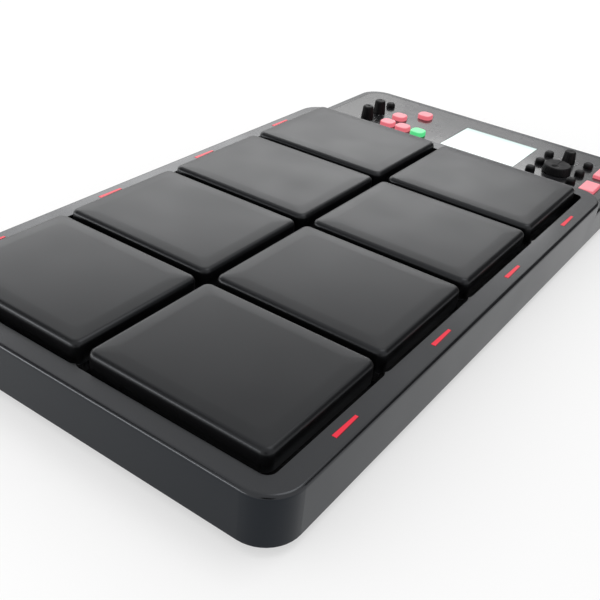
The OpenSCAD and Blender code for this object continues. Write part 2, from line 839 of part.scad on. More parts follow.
module socket_plate() {
  cut_t = socket_plate_t + 2 * overcut;
  color(black_colour) difference() {
    translate([window_left - window_lap, y_plate_front, z_cover_top])
      cube([window_w + 2 * window_lap, socket_plate_t, z_window_top + window_lap - z_cover_top]);
    for (x = jack_spots) translate([x, y_plate + overcut, jack_z])
      rotate([90, 0, 0]) cylinder(d = jack_bush_d + 2 * panel_fit, h = cut_t);
    translate([usb_x - usb_open_w / 2, y_plate_front - overcut, z_main_board + (usb_h - usb_open_h) / 2])
      cube([usb_open_w, cut_t, usb_open_h]);
    translate([inlet_x, y_plate + overcut, z_main_board + inlet_h / 2])
      rotate([90, 0, 0]) cylinder(d = inlet_bore, h = cut_t);
    translate([power_x, y_plate_front - overcut, jack_z]) rotate([-90, 0, 0]) linear_extrude(cut_t)
      square([power_w + 2 * button_fit, power_h + 2 * button_fit], center = true);
  }
}

// Phone sockets with a threaded bush that ends flush with the rear wall
module phone_sockets() {
  bush_l = y_back - y_plate_front;
  color(black_colour) for (x = jack_spots) difference() {
    union() {
      translate([x - jack_w / 2, y_jack_front, z_main_board]) cube([jack_w, jack_l, jack_h]);
      translate([x, y_back, jack_z]) rotate([90, 0, 0]) cylinder(d = jack_bush_d, h = bush_l + jack_l / 2);
    }
    translate([x, y_back + overcut, jack_z]) rotate([90, 0, 0])
      cylinder(d = jack_bore, h = bush_l + jack_l - jack_back_wall + overcut);
  }
}

module socket_nuts() {
  color(steel_colour) for (x = jack_spots) translate([x, y_plate, jack_z]) rotate([-90, 0, 0]) difference() {
    cylinder(d = jack_nut_d, h = jack_nut_t, $fn = 6);
    translate([0, 0, -overcut]) cylinder(d = jack_bush_d, h = jack_nut_t + 2 * overcut);
  }
}

module data_socket() {
  color(steel_colour) translate([usb_x, y_plate_front - usb_l, z_main_board + usb_h / 2]) difference() {
    translate([-usb_w / 2, 0, -usb_h / 2]) cube([usb_w, usb_l, usb_h]);
    difference() {
      translate([-usb_open_w / 2, usb_back_wall, -usb_open_h / 2]) cube([usb_open_w, usb_l, usb_open_h]);
      translate([-usb_open_w / 4, 0, -usb_tongue_h / 2])
        cube([usb_open_w / 2, usb_l - usb_tongue_sink, usb_tongue_h]);
    }
  }
}

module power_inlet() {
  color(black_colour) translate([inlet_x, y_plate_front, z_main_board + inlet_h / 2]) {
    difference() {
      translate([-inlet_w / 2, -inlet_l, -inlet_h / 2]) cube([inlet_w, inlet_l, inlet_h]);
      translate([0, overcut, 0]) rotate([90, 0, 0])
        cylinder(d = inlet_bore, h = inlet_l - inlet_wall + overcut);
    }
    translate([0, -inlet_wall, 0]) rotate([90, 0, 0]) cylinder(d = inlet_pin_d, h = inlet_l - inlet_wall);
  }
}

module power_switch() {
  color(black_colour)
    translate([power_x - power_switch_w / 2, y_plate_front - power_guide - power_switch_l, z_main_board])
      cube([power_switch_w, power_switch_l, jack_h]);
}

// Push button with a collar that keeps it behind the socket plate
module power_button() {
  collar_t = power_guide - power_travel - power_play - plate_play;
  y_collar = y_plate_front - plate_play - collar_t;
  color(black_colour) translate([power_x, y_collar, jack_z]) rotate([-90, 0, 0]) {
    linear_extrude(y_back - power_sink - y_collar) square([power_w, power_h], center = true);
    linear_extrude(collar_t)
      square([power_w + 2 * power_collar, power_h + 2 * power_collar], center = true);
  }
}

module feet() {
  edge = 1;
  color(black_colour) for (p = foot_spots) translate([p[0], p[1], 0]) {
    cylinder(d1 = foot_d - 2 * edge, d2 = foot_d, h = edge);
    translate([0, 0, edge]) cylinder(d = foot_d, h = foot_h - edge);
  }
}

module case_screws() {
  color(steel_colour) for (p = screw_spots) translate([p[0], p[1], 0]) {
    translate([0, 0, z_base]) cylinder(d = screw_head_d, h = screw_head_h);
    translate([0, 0, z_base]) cylinder(d = screw_d, h = screw_head_h + screw_l);
  }
}

module stand_inserts() {
  color("#b08d3c") for (p = stand_spots) translate([p[0], p[1], z_base]) difference() {
    cylinder(d = insert_od, h = insert_l);
    translate([0, 0, -overcut]) cylinder(d = insert_d, h = insert_l + 2 * overcut);
  }
}

top_case();
bottom_cover();
control_panel();
lcd_window();
lcd_module();
pad(0);  // pad_1
pad(1);  // pad_2
pad(2);  // pad_3
pad(3);  // pad_4
pad(4);  // pad_5
pad(5);  // pad_6
pad(6);  // pad_7
pad(7);  // pad_8
pad_plates();
pad_cushions();
piezo_sensors();
pad_lamps();
lamp_boards();
main_board();
panel_board();
jack_board();
ribbon_cable();
tact_switches();
potentiometers();
encoder();
socket_plate();
phone_sockets();
socket_nuts();
data_socket();
power_inlet();
power_switch();
feet();
case_screws();
stand_inserts();
knob(volume_xy[0], knob_h);  // volume_knob_1
shaft(volume_xy[0], knob_h);  // volume_shaft_1
knob(volume_xy[1], knob_h);  // volume_knob_2
shaft(volume_xy[1], knob_h);  // volume_shaft_2
knob(level_xy, level_knob_h);  // level_knob
shaft(level_xy, level_knob_h);  // level_shaft
value_dial();
shaft(dial_xy, dial_h);  // dial_shaft
loop_button(0);  // loop_button_1
loop_button(1);  // loop_button_2
loop_button(2);  // loop_button_3
loop_button(3);  // loop_button_4
play_button();
small_button(click_xy);  // click_button
small_button([function_x, row_y[0]]);  // function_button_1
small_button([function_x, row_y[1]]);  // function_button_2
small_button([function_x, row_y[2]]);  // function_button_3
small_button([menu_x, row_y[0]]);  // menu_button_1
small_button([menu_x, row_y[1]]);  // menu_button_2
small_button([menu_x, row_y[2]]);  // menu_button_3
mode_button(0);  // mode_button_1
mode_button(1);  // mode_button_2
power_button();
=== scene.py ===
import math

import bmesh
import bpy
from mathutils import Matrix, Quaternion, Vector


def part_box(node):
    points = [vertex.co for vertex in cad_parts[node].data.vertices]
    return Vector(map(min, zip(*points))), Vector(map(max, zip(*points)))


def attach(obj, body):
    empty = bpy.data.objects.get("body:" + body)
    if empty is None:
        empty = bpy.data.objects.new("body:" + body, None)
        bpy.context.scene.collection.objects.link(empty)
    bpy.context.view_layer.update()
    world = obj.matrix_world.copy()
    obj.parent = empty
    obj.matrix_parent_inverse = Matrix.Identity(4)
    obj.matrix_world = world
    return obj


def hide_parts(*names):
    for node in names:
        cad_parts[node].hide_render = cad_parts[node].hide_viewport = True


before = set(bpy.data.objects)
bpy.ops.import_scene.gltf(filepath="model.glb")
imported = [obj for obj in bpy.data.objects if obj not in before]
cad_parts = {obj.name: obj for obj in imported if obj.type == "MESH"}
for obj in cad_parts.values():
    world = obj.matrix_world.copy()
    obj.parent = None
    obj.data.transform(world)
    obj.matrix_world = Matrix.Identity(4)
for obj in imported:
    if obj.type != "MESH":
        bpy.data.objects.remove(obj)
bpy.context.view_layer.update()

# Studio
# A white paper floor in a white room, seen from low at the front right corner, under one soft overhead light.
# A wide light stands low behind. A strip light draws the bright front edge, and four cards, which only
# mirrors show, draw the dark lines and shade the panel. The paper is lifted toward white for the eye alone.
MM = 0.001
IMAGE_PX = 600
SENSOR_MM = 36.0
FOCAL_PX = 854.8
CAMERA_PLACE = Vector((289.65, -508.98, 319.73)) * MM
CAMERA_AZIMUTH = math.radians(-32.32)
CAMERA_DOWN = math.radians(32.12)
CAMERA_ROLL = math.radians(5.75)
CAMERA_NEAR = 10 * MM
PAPER_HEX = "fcfcfc"
PAPER_LIFT = 0.5
FLOOR_SIZE = 8.0
AMBIENT = 0.76


def linear(hex_colour):
    """An sRGB hex colour as linear red, green, blue and alpha."""
    values = [int(hex_colour[i:i + 2], 16) / 255 for i in (0, 2, 4)]
    return [v / 12.92 if v <= 0.04045 else ((v + 0.055) / 1.055) ** 2.4 for v in values] + [1.0]


def add(tree, kind, inputs=None, **settings):
    """Adds a node with its settings. An input is a value, or the socket that it is linked from."""
    made = tree.nodes.new(kind)
    for name, value in settings.items():
        setattr(made, name, value)
    for name, value in (inputs or {}).items():
        if isinstance(value, bpy.types.NodeSocket):
            tree.links.new(value, made.inputs[name])
        else:
            made.inputs[name].default_value = value
    return made


def facing(place, aim=(0, 0, 0)):
    """The turn that points an object's own minus Z from one place at another."""
    return (Vector(aim) - Vector(place)).to_track_quat("-Z", "Y").to_euler()


scene = bpy.context.scene
scene.view_settings.view_transform = "Standard"

camera = bpy.data.objects.new("camera", bpy.data.cameras.new("camera"))
scene.collection.objects.link(camera)
camera.data.sensor_width = SENSOR_MM
camera.data.sensor_fit = "HORIZONTAL"
camera.data.lens = FOCAL_PX / IMAGE_PX * SENSOR_MM
camera.data.clip_start = CAMERA_NEAR
view = Vector((
    math.sin(CAMERA_AZIMUTH) * math.cos(CAMERA_DOWN),
    math.cos(CAMERA_AZIMUTH) * math.cos(CAMERA_DOWN),
    -math.sin(CAMERA_DOWN),
))
camera.rotation_mode = "QUATERNION"
camera.rotation_quaternion = view.to_track_quat("-Z", "Y") @ Quaternion((0, 0, 1), CAMERA_ROLL)
camera.location = CAMERA_PLACE
scene.camera = camera


def seen(tree):
    """1 for rays that show a surface to the eye: straight, in a mirror or through glass."""
    path = add(tree, "ShaderNodeLightPath")
    rays = path.outputs["Is Camera Ray"]
    for ray in ("Is Glossy Ray", "Is Transmission Ray"):
        rays = add(tree, "ShaderNodeMath", {0: rays, 1: path.outputs[ray]}, operation="MAXIMUM").outputs[0]
    return rays


world = bpy.data.worlds.new("white_room")
world.use_nodes = True
tree = world.node_tree
tree.nodes.clear()
strength = add(tree, "ShaderNodeMapRange", {"Value": seen(tree), "To Min": AMBIENT, "To Max": 1.0})
room = add(tree, "ShaderNodeBackground", {
    "Color": linear("ffffff"), "Strength": strength.outputs["Result"]})
add(tree, "ShaderNodeOutputWorld", {"Surface": room.outputs[0]})
scene.world = world


def card(name, hex_colour, place, size, turn):
    """A flat matt card of the studio."""
    material = bpy.data.materials.new(name)
    material.use_nodes = True
    material.node_tree.nodes.clear()
    matt = add(material.node_tree, "ShaderNodeBsdfDiffuse", {"Color": linear(hex_colour)})
    add(material.node_tree, "ShaderNodeOutputMaterial", {"Surface": matt.outputs[0]})
    mesh = bpy.data.meshes.new(name)
    w, h = size[0] / 2, size[1] / 2
    mesh.from_pydata([(-w, -h, 0), (w, -h, 0), (w, h, 0), (-w, h, 0)], [], [(0, 1, 2, 3)])
    mesh.materials.append(material)
    made = bpy.data.objects.new(name, mesh)
    scene.collection.objects.link(made)
    made.location = place
    made.rotation_euler = turn
    return made


paper = card("floor", PAPER_HEX, (0, 0, 0), (FLOOR_SIZE, FLOOR_SIZE), (0, 0, 0)).active_material
paper.cycles.emission_sampling = "NONE"
tree = paper.node_tree
lift = add(tree, "ShaderNodeMath", {0: seen(tree), 1: PAPER_LIFT}, operation="MULTIPLY")
white = add(tree, "ShaderNodeEmission", {"Color": linear("ffffff"), "Strength": 1.0})
lifted = add(tree, "ShaderNodeMixShader", {
    0: lift.outputs[0], 1: tree.nodes["Diffuse BSDF"].outputs[0], 2: white.outputs[0]})
tree.links.new(lifted.outputs[0], tree.nodes["Material Output"].inputs["Surface"])
for name, hex_colour, place, size in (
    ("dark_card_right", "5c5c5e", (0.75, 1.15, 0.5), (1.5, 1.1)),
    ("grey_card_left", "8c8c8e", (-0.75, -0.58, 0.86), (0.9, 0.6)),
    ("dark_card_front", "18181a", (1.0, -1.35, 0.45), (0.7, 0.8)),
    ("low_card_back", "c4c4c6", (-0.3, 1.7, 0.35), (0.95, 0.5)),
):
    flag = card(name, hex_colour, place, size, facing(place))
    flag.visible_camera = flag.visible_diffuse = flag.visible_shadow = False

for name, place, size, watts in (
    ("overhead_softbox", (0.4, 0.35, 1.6), (1.0, 0.8), 5.0),
    ("strip_light", (-0.78, -1.04, 0.25), (1.6, 0.2), 7.0),
    ("back_light", (-1.18, 1.08, 0.77), (2.3, 0.35), 6.7),
):
    lamp = bpy.data.objects.new(name, bpy.data.lights.new(name, "AREA"))
    lamp.data.shape = "RECTANGLE"
    lamp.data.size, lamp.data.size_y = size
    lamp.data.energy = watts
    lamp.location = place
    lamp.rotation_euler = facing(place)
    lamp.visible_camera = False
    scene.collection.objects.link(lamp)

# Top case
# One large injection moulding of black ABS: the pad frame, the walls and the rear block.
# The tool is polished for the top, which mirrors the white room softly.
# The side walls mirror less than the top. This is partly a duller finish and partly painted shade that keeps
# them dark against the lifted paper. The reflections carry a painted cold blue tint, strong on the walls and
# faint on the top.
CASE_HEX = "0d0d0e"
WALL_Z, TOP_Z = 0.1, 0.4
# Painted shade and painted cold tint: the walls mirror less, and bluer, than the top.
WALL_SHADED_LEVEL, TOP_LEVEL = 0.25, 0.54
WALL_PAINTED_COLD_TINT_HEX, TOP_PAINTED_COLD_TINT_HEX = "c8dcf4", "f0f4fb"
NOISE_LOW, NOISE_HIGH = 0.3, 0.7


def new_material(name, hex_colour, roughness, **sockets):
    """A material with one principled shader, whose constant values are set on its own sockets."""
    made = bpy.data.materials.new(name)
    made.use_nodes = True
    shader = made.node_tree.nodes["Principled BSDF"]
    shader.inputs["Base Color"].default_value = linear(hex_colour)
    shader.inputs["Roughness"].default_value = roughness
    for socket, value in sockets.items():
        shader.inputs[socket.replace("_", " ")].default_value = value
    return made, made.node_tree, shader


def noise(tree, size_mm, detail=2.0):
    """Noise on object coordinates with cells of about size_mm."""
    where = add(tree, "ShaderNodeTexCoord").outputs["Object"]
    return add(tree, "ShaderNodeTexNoise", {
        "Vector": where, "Scale": 1 / (size_mm * MM), "Detail": detail}).outputs["Fac"]


def relief(tree, shader, height, depth_mm):
    """Raises a surface by a height pattern."""
    bump = add(tree, "ShaderNodeBump", {"Height": height, "Strength": 1.0, "Distance": depth_mm * MM})
    tree.links.new(bump.outputs[0], shader.inputs["Normal"])


def ramp(tree, value, ends, levels=(0.0, 1.0), curve="LINEAR"):
    """Maps a value's stretch between two ends onto two levels, and holds it there beyond."""
    return add(tree, "ShaderNodeMapRange", {
        "Value": value, "From Min": ends[0], "From Max": ends[1], "To Min": levels[0], "To Max": levels[1],
    }, interpolation_type=curve).outputs["Result"]


def blend(tree, share, first_hex, second_hex):
    """A colour between two others."""
    return add(tree, "ShaderNodeMix", {
        "Factor": share, 6: linear(first_hex), 7: linear(second_hex)}, data_type="RGBA").outputs[2]


def vary(tree, socket, pattern, low, high):
    """Lets a pattern move a shader's value between two levels."""
    tree.links.new(ramp(tree, pattern, (NOISE_LOW, NOISE_HIGH), (low, high)), socket)


def finish(material, *names):
    """Gives CAD nodes a material."""
    for name in names:
        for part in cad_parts[name].material_slots:
            part.material = material


case_abs, tree, shader = new_material("polished_black_abs", CASE_HEX, 0.2)
vary(tree, shader.inputs["Roughness"], noise(tree, 45), 0.16, 0.24)
relief(tree, shader, noise(tree, 0.4), 0.001)
up = add(tree, "ShaderNodeSeparateXYZ", {0: add(tree, "ShaderNodeTexCoord").outputs["Normal"]})
top = ramp(tree, up.outputs["Z"], (WALL_Z, TOP_Z))
# Painted cold tint on the reflections, bluer on the walls than on the top.
tree.links.new(blend(tree, top, WALL_PAINTED_COLD_TINT_HEX, TOP_PAINTED_COLD_TINT_HEX), shader.inputs["Specular Tint"])
# Painted shade on the walls: they mirror less than the top.
tree.links.new(ramp(tree, top, (0.0, 1.0), (WALL_SHADED_LEVEL, TOP_LEVEL)), shader.inputs["Specular IOR Level"])
finish(case_abs, "top_case")

# Bottom cover
# A flat black ABS moulding that closes the case from below, with a spark-eroded texture that hides scuffs.
# It also carries the plate for the sockets, cut from the same sheet.
cover_abs, tree, shader = new_material("textured_black_abs", "101011", 0.5)
vary(tree, shader.inputs["Roughness"], noise(tree, 20), 0.45, 0.55)
relief(tree, shader, noise(tree, 0.7, 4.0), 0.05)
finish(cover_abs, "bottom_cover", "socket_plate")

# Feet
# Four black rubber discs stuck to the cover. Moulded rubber is dull and takes a little dust.
foot_rubber, tree, shader = new_material("moulded_black_rubber_foot", "121212", 0.75)
vary(tree, shader.inputs["Base Color"], noise(tree, 6, 4.0), 0.004, 0.009)
relief(tree, shader, noise(tree, 0.8, 3.0), 0.06)
finish(foot_rubber, "feet")

# Case screws
# Zinc-plated self-tapping screws with pan heads and a cross recess, driven up through the cover.
# One screw is built from solids by nodes and repeated at each place that the CAD screws hold.
SCREW_HEAD_D, SCREW_HEAD_H, SCREW_D, SCREW_L = 6.0, 1.5, 3.0, 10.0
RECESS_L, RECESS_W, RECESS_H = 3.4, 0.8, 0.9
SCREW_SIDES = 32


def solid_centres(name, spread_mm):
    """The middles, seen from above, of a CAD node's solids that lie further apart than spread_mm."""
    groups = []
    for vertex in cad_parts[name].data.vertices:
        near = [g for g in groups if (g[0].xy - vertex.co.xy).length < spread_mm * MM]
        if near:
            near[0].append(vertex.co)
        else:
            groups.append([vertex.co])
    return [[(min(c[k] for c in g) + max(c[k] for c in g)) / 2 for k in (0, 1)] for g in groups]


def node_group(name, sockets):
    """A geometry node group with its input and output nodes, and named inputs as (name, kind) pairs."""
    group = bpy.data.node_groups.new(name, "GeometryNodeTree")
    group.interface.new_socket("Geometry", in_out="OUTPUT", socket_type="NodeSocketGeometry")
    group.interface.new_socket("Geometry", in_out="INPUT", socket_type="NodeSocketGeometry")
    for label, kind in sockets:
        group.interface.new_socket(label, in_out="INPUT", socket_type=f"NodeSocket{kind}")
    return group, add(group, "NodeGroupInput").outputs


def grown(name, group, values, points, body):
    """Runs a node group on points, keeps the result as a plain mesh and lets it ride a body."""
    seed = bpy.data.meshes.new(name)
    seed.from_pydata(points, [], [])
    source = bpy.data.objects.new(name, seed)
    scene.collection.objects.link(source)
    modifier = source.modifiers.new(name, "NODES")
    modifier.node_group = group
    for item in group.interface.items_tree:
        if item.in_out == "INPUT" and item.name in values:
            modifier[item.identifier] = values[item.name]
    mesh = bpy.data.meshes.new_from_object(source.evaluated_get(bpy.context.evaluated_depsgraph_get()))
    source.modifiers.remove(modifier)
    source.data = mesh
    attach(source, body)
    return source


zinc, tree, shader = new_material("zinc_plated_steel", "b4b7bb", 0.35, Metallic=1.0)
vary(tree, shader.inputs["Roughness"], noise(tree, 1.5), 0.28, 0.42)
finish(zinc, "socket_nuts", "data_socket")

group, given = node_group("recessed_screws", [("Material", "Material")])
head = add(group, "GeometryNodeMeshCylinder", {
    "Vertices": SCREW_SIDES, "Radius": SCREW_HEAD_D / 2 * MM, "Depth": SCREW_HEAD_H * MM})
cutters = []
for size in ((RECESS_L, RECESS_W, RECESS_H), (RECESS_W, RECESS_L, RECESS_H)):
    bar = add(group, "GeometryNodeMeshCube", {"Size": Vector(size) * MM})
    sunk = add(group, "GeometryNodeTransform", {
        "Geometry": bar.outputs["Mesh"], "Translation": (0, 0, -SCREW_HEAD_H / 2 * MM)})
    cutters.append(sunk.outputs[0])
cut = add(group, "GeometryNodeMeshBoolean", {"Mesh 1": head.outputs["Mesh"]},
          operation="DIFFERENCE", solver="EXACT")
for cutter in cutters:
    group.links.new(cutter, cut.inputs["Mesh 2"])
lifted = add(group, "GeometryNodeTransform", {
    "Geometry": cut.outputs["Mesh"], "Translation": (0, 0, SCREW_HEAD_H / 2 * MM)})
shank = add(group, "GeometryNodeMeshCylinder", {
    "Vertices": SCREW_SIDES, "Radius": SCREW_D / 2 * MM, "Depth": SCREW_L * MM})
raised = add(group, "GeometryNodeTransform", {
    "Geometry": shank.outputs["Mesh"], "Translation": (0, 0, (SCREW_HEAD_H + SCREW_L / 2) * MM)})
whole = add(group, "GeometryNodeJoinGeometry")
for piece in (raised, lifted):
    group.links.new(piece.outputs[0], whole.inputs[0])
spread = add(group, "GeometryNodeInstanceOnPoints", {
    "Points": given["Geometry"], "Instance": whole.outputs[0]})
real = add(group, "GeometryNodeRealizeInstances", {"Geometry": spread.outputs[0]})
coated = add(group, "GeometryNodeSetMaterial", {"Geometry": real.outputs[0], "Material": given["Material"]})
add(group, "NodeGroupOutput", {"Geometry": coated.outputs[0]})
screw_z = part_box("case_screws")[0][2]
screw_places = [(x, y, screw_z) for x, y in solid_centres("case_screws", 2 * SCREW_HEAD_D)]
screws = grown("cross_recess_screws", group, {"Material": zinc}, screw_places, "case")
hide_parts("case_screws")

# Stand inserts and sensors
# Turned brass: threaded bushes pressed into the cover, and thin piezo discs under the pads.
# Fine turning rings and a warm, slightly uneven tarnish.
brass, tree, shader = new_material("turned_brass", "b8944a", 0.3, Metallic=1.0)
vary(tree, shader.inputs["Roughness"], noise(tree, 3), 0.22, 0.4)
finish(brass, "stand_inserts", "piezo_sensors")

# Pads
# Moulded black rubber caps with a broad rounded edge and a face that falls a little toward its edges.
# Each is bonded to a steel plate on foam. Rubber is a dull mirror at a low angle, worn a little unevenly.
RUBBER_HEX = "0c0c0d"
PAD_R, PAD_ROUND = 6.0, 3.6
SKIRT_CHAMFER = 0.5
CROWN_W, CROWN_DROP, CROWN_R, CROWN_POWER = 8.0, 0.42, 8.0, 1.35
CROWN_STEPS = 10
CORNER_STEPS = 10
ARC_STEPS = 10


def ring(low, high, inset, z, radius):
    """Corner points of a rounded rectangle, drawn in by inset, at height z. All in millimetres."""
    points = []
    for turn, (sx, sy) in enumerate(((1, 1), (-1, 1), (-1, -1), (1, -1))):
        cx = (high.x - inset - radius) if sx > 0 else (low.x + inset + radius)
        cy = (high.y - inset - radius) if sy > 0 else (low.y + inset + radius)
        for step in range(CORNER_STEPS + 1):
            angle = math.radians(90 * (turn + step / CORNER_STEPS))
            points.append((cx + radius * math.cos(angle), cy + radius * math.sin(angle), z))
    return points


def arc(inset, z, r, start, end):
    """Inset and height of points along a profile's arc, in millimetres."""
    for step in range(ARC_STEPS + 1):
        angle = math.radians(start + (end - start) * step / ARC_STEPS)
        yield inset + r * math.cos(angle), z + r * math.sin(angle)


def loft(name, rings, material):
    """A closed mesh through rings of equal length, capped at both ends."""
    mesh = bmesh.new()
    rows = [[mesh.verts.new(Vector(p) * MM) for p in points] for points in rings]
    for below, above in zip(rows, rows[1:]):
        for i in range(len(below)):
            j = (i + 1) % len(below)
            mesh.faces.new((below[i], below[j], above[j], above[i]))
    mesh.faces.new(rows[0][::-1])
    mesh.faces.new(rows[-1])
    for face in mesh.faces:
        face.smooth = True
    data = bpy.data.meshes.new(name)
    mesh.to_mesh(data)
    mesh.free()
    data.materials.append(material)
    made = bpy.data.objects.new(name, data)
    scene.collection.objects.link(made)
    return made


# The faint blue specular tint is a painted cold tint on the rubber's reflections.
rubber, tree, shader = new_material("moulded_black_rubber", RUBBER_HEX, 0.3, Specular_IOR_Level=0.32,
                                    Specular_Tint=linear("f2f6fc"))
vary(tree, shader.inputs["Roughness"], noise(tree, 40, 1.0), 0.275, 0.325)
relief(tree, shader, noise(tree, 2.5), 0.004)

for number in range(1, 9):
    node = f"pad_{number}"
    low, high = (Vector(corner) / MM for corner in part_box(node))
    edge_z = high.z - CROWN_DROP
    profile = [(SKIRT_CHAMFER, low.z, PAD_R - SKIRT_CHAMFER), (0, low.z + SKIRT_CHAMFER, PAD_R)]
    profile += [(x, z, PAD_R - x) for x, z in arc(PAD_ROUND, edge_z - PAD_ROUND, PAD_ROUND, 180, 90)]
    for step in range(1, CROWN_STEPS + 1):
        share = step / CROWN_STEPS
        radius = PAD_R - PAD_ROUND + (CROWN_R - PAD_R + PAD_ROUND) * share
        crown_z = high.z - CROWN_DROP * (1 - share) ** CROWN_POWER
        profile.append((PAD_ROUND + CROWN_W * share, crown_z, radius))
    pad = loft(f"rubber_{node}", [ring(low, high, *point) for point in profile], rubber)
    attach(pad, "case")
    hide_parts(node)

# Pad plates and cushions
# Cold-rolled steel sheet, zinc plated in a bath, so its crystals show as soft patches.
# The cushions are rings cut from black polyurethane foam with open cells.
sheet, tree, shader = new_material("galvanised_steel_sheet", "a9acb0", 0.4, Metallic=1.0)
where = add(tree, "ShaderNodeTexCoord").outputs["Object"]
spangle = add(tree, "ShaderNodeTexVoronoi", {"Vector": where, "Scale": 1 / (5 * MM)})
vary(tree, shader.inputs["Roughness"], spangle.outputs["Distance"], 0.3, 0.5)
finish(sheet, "pad_plates")
foam, tree, shader = new_material("open_cell_foam", "2a2a2c", 0.95)
where = add(tree, "ShaderNodeTexCoord").outputs["Object"]
cells = add(tree, "ShaderNodeTexVoronoi", {"Vector": where, "Scale": 1 / (0.9 * MM)})
relief(tree, shader, cells.outputs["Distance"], 0.4)
finish(foam, "pad_cushions")

# Lamps
# Wedges of red acrylic pressed up into slots in the side rims and lit from below by a strip of small lamps.
# The light runs along the middle of each wedge, and its polished edges against the case stay dark red.
LAMP_CORE_HEX, LAMP_EDGE_HEX = "fa3048", "5a0a14"
LAMP_FRONT_W, LAMP_BACK_W, LAMP_L, LAMP_FLANGE = 3.2, 2.2, 21.0, 1.0
LAMP_CORE, LAMP_FADE = 0.75, 1.05
lamp_red, tree, shader = new_material("red_acrylic_lit", "4a060c", 0.2, Specular_IOR_Level=0.2,
                                      Emission_Strength=0.8)
lamp_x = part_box("pad_lamps")[1][0] / MM - LAMP_FLANGE - LAMP_FRONT_W / 2
where = add(tree, "ShaderNodeSeparateXYZ", {0: add(tree, "ShaderNodeTexCoord").outputs["Object"]})
side = add(tree, "ShaderNodeMath", {0: where.outputs["X"]}, operation="ABSOLUTE")
across = add(tree, "ShaderNodeMath", {0: side.outputs[0], 1: lamp_x * MM}, operation="SUBTRACT")
offset = add(tree, "ShaderNodeMath", {0: across.outputs[0]}, operation="ABSOLUTE")
first_y, next_y = (sum(corner[1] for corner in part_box(node)) / 2 for node in ("pad_1", "pad_3"))
row_half = (next_y - first_y) / 2
along = add(tree, "ShaderNodeMath", {
    0: where.outputs["Y"], 1: first_y + row_half, 2: first_y - row_half}, operation="WRAP")
half = ramp(tree, along.outputs[0], (first_y - LAMP_L / 2 * MM, first_y + LAMP_L / 2 * MM),
            (LAMP_FRONT_W / 2 * MM, LAMP_BACK_W / 2 * MM))
part = add(tree, "ShaderNodeMath", {0: offset.outputs[0], 1: half}, operation="DIVIDE")
fade = ramp(tree, part.outputs[0], (LAMP_CORE, LAMP_FADE), curve="SMOOTHSTEP")
tree.links.new(blend(tree, fade, LAMP_CORE_HEX, LAMP_EDGE_HEX), shader.inputs["Emission Color"])
finish(lamp_red, "pad_lamps")

# Control panel
# A flat black plate under a clear gloss film, which mirrors the room twice and looks paler than the case.
# White ticks are screen-printed round the three knobs with stops.
TICKS, TICK_SWEEP = 11, math.radians(300)
TICK_R, TICK_L, TICK_W, TICK_T = 8.6, 1.5, 0.35, 0.02
panel_film, tree, shader = new_material("filmed_black_panel", "1a1a1c", 0.25, Coat_Weight=0.3,
                                        Coat_Roughness=0.08)
vary(tree, shader.inputs["Roughness"], noise(tree, 25, 3.0), 0.2, 0.3)
finish(panel_film, "control_panel")

ink, tree, shader = new_material("white_screen_ink", "c9cbcc", 0.6)
relief(tree, shader, noise(tree, 0.15), 0.01)
group, given = node_group("knob_ticks", [
    ("Count", "Int"), ("Sweep", "Float"), ("Radius", "Float"), ("Material", "Material")])
dots = add(group, "GeometryNodePoints", {"Count": given["Count"]})
last = add(group, "ShaderNodeMath", {0: given["Count"], 1: 1.0}, operation="SUBTRACT")
index = add(group, "GeometryNodeInputIndex")
share = add(group, "ShaderNodeMath", {0: index.outputs[0], 1: last.outputs[0]}, operation="DIVIDE")
centred = add(group, "ShaderNodeMath", {0: share.outputs[0], 1: 0.5}, operation="SUBTRACT")
angle = add(group, "ShaderNodeMath", {0: centred.outputs[0], 1: given["Sweep"]}, operation="MULTIPLY")
turn = add(group, "ShaderNodeCombineXYZ", {"Z": angle.outputs[0]})
arm = add(group, "ShaderNodeCombineXYZ", {"Y": given["Radius"]})
spot = add(group, "ShaderNodeVectorRotate", {"Vector": arm.outputs[0], "Angle": angle.outputs[0]},
           rotation_type="Z_AXIS")
placed = add(group, "GeometryNodeSetPosition", {"Geometry": dots.outputs[0], "Position": spot.outputs[0]})
tick = add(group, "GeometryNodeMeshCube", {"Size": Vector((TICK_W, TICK_L, TICK_T)) * MM})
euler = add(group, "FunctionNodeEulerToRotation", {0: turn.outputs[0]})
fan = add(group, "GeometryNodeInstanceOnPoints", {
    "Points": placed.outputs[0], "Instance": tick.outputs["Mesh"], "Rotation": euler.outputs[0]})
scale = add(group, "GeometryNodeRealizeInstances", {"Geometry": fan.outputs[0]})
round_knobs = add(group, "GeometryNodeInstanceOnPoints", {
    "Points": given["Geometry"], "Instance": scale.outputs[0]})
real = add(group, "GeometryNodeRealizeInstances", {"Geometry": round_knobs.outputs[0]})
printed = add(group, "GeometryNodeSetMaterial", {
    "Geometry": real.outputs[0], "Material": given["Material"]})
add(group, "NodeGroupOutput", {"Geometry": printed.outputs[0]})
print_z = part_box("control_panel")[1][2] + TICK_T / 2 * MM
knobs = ("volume_knob_1", "volume_knob_2", "level_knob")
middles = [(Vector(low) + Vector(high)) / 2 for low, high in map(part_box, knobs)]
grown("printed_ticks", group,
      {"Count": TICKS, "Sweep": TICK_SWEEP, "Radius": TICK_R * MM, "Material": ink},
      [(m.x, m.y, print_z) for m in middles], "case")

